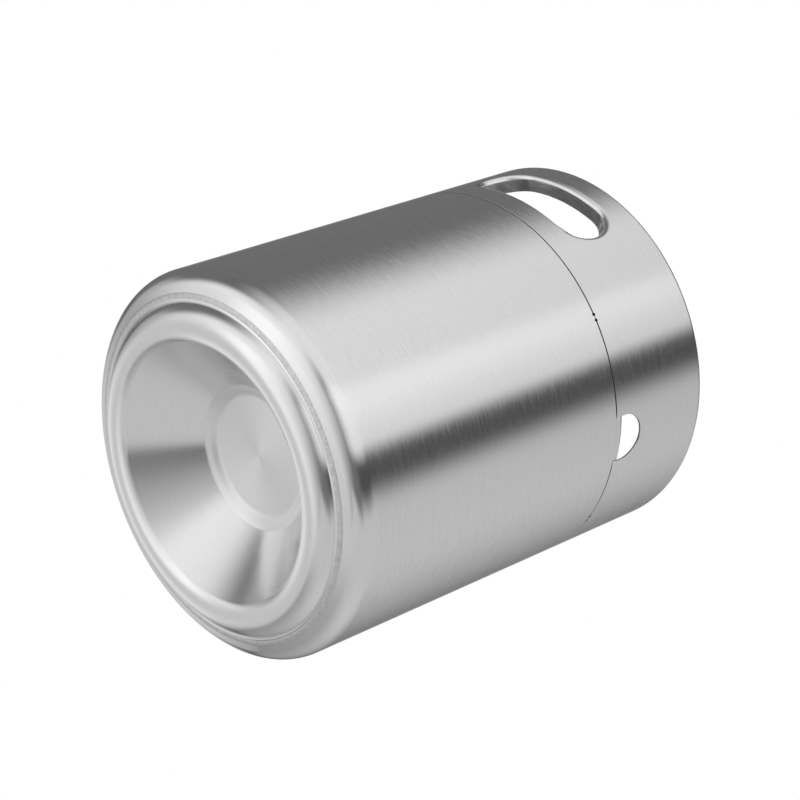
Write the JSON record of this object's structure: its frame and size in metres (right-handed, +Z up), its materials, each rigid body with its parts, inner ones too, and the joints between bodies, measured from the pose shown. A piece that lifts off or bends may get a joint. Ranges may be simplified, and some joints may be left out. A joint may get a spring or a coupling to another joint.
{
  "type": "mini keg",
  "caption": "Small stainless steel drinks keg with a flush carry collar, hemmed carry holes, a foot ring pressed into its base and a screwed head with gas and drink posts.",
  "frame": {"origin": "centre of the foot ring's flat, where the upright keg stands", "axes": "+Z up, out of the mouth; +X through one carry hole and over the drink post; +Y over the relief valve, about 5 degrees from one drain notch"},
  "size_m": [0.196, 0.196, 0.248],
  "materials": {
    "sheet_steel": "satin stainless sheet, brushed around the body",
    "weld_bead": "cleaned weld metal",
    "machined_steel": "turned stainless steel",
    "spring_wire": "bright spring wire",
    "seal_rubber": "smooth black rubber"
  },
  "bodies": {
    "keg": {"base_dish": "sheet_steel", "base_weld": "weld_bead", "body_shell": "sheet_steel", "top_dome": "sheet_steel", "dome_weld": "weld_bead", "carry_collar": "sheet_steel", "collar_tacks": "weld_bead", "neck_spout": "machined_steel", "neck_weld": "weld_bead"},
    "head": {"head_plate": "machined_steel", "head_gasket": "seal_rubber", "gas_post": "machined_steel", "gas_post_seal": "seal_rubber", "gas_poppet_spring": "spring_wire", "gas_tube": "machined_steel", "gas_tube_seal": "seal_rubber", "beer_post": "machined_steel", "beer_post_seal": "seal_rubber", "beer_poppet_spring": "spring_wire", "beer_dip_tube": "machined_steel", "beer_tube_seal": "seal_rubber", "relief_body": "machined_steel", "relief_body_seal": "seal_rubber", "relief_spring": "spring_wire"},
    "screw_ring": {"screw_ring": "machined_steel"},
    "gas_poppet": {"gas_poppet": "machined_steel", "gas_poppet_seal": "seal_rubber"},
    "beer_poppet": {"beer_poppet": "machined_steel", "beer_poppet_seal": "seal_rubber"},
    "relief_stem": {"relief_stem": "machined_steel", "relief_stem_seal": "seal_rubber"},
    "pull_ring": {"relief_pull_ring": "machined_steel"}
  },
  "joints": [
    {"name": "head_lift", "type": "slide", "parent": "keg", "child": "head", "axis": [0, 0, 1], "range_m": [0, 0.03]},
    {"name": "ring_turn", "type": "hinge", "parent": "head", "child": "screw_ring", "pos_m": [0, 0, 0.21334], "axis": [0, 0, 1], "continuous": true},
    {"name": "gas_poppet_press", "type": "slide", "parent": "head", "child": "gas_poppet", "axis": [0, 0, -1], "range_m": [0, 0.003], "stiffness_N_per_m": 600, "springref_m": -0.003, "deforming": ["gas_poppet_spring"]},
    {"name": "beer_poppet_press", "type": "slide", "parent": "head", "child": "beer_poppet", "axis": [0, 0, -1], "range_m": [0, 0.003], "stiffness_N_per_m": 600, "springref_m": -0.003, "deforming": ["beer_poppet_spring"]},
    {"name": "relief_lift", "type": "slide", "parent": "head", "child": "relief_stem", "axis": [0, 0, 1], "range_m": [0, 0.003], "stiffness_N_per_m": 3000, "springref_m": -0.004, "deforming": ["relief_spring"]},
    {"name": "pull_ring_swing", "type": "hinge", "parent": "relief_stem", "child": "pull_ring", "pos_m": [0, 0.018, 0.23134], "axis": [1, 0, 0], "range_deg": [0, 130]}
  ]
}
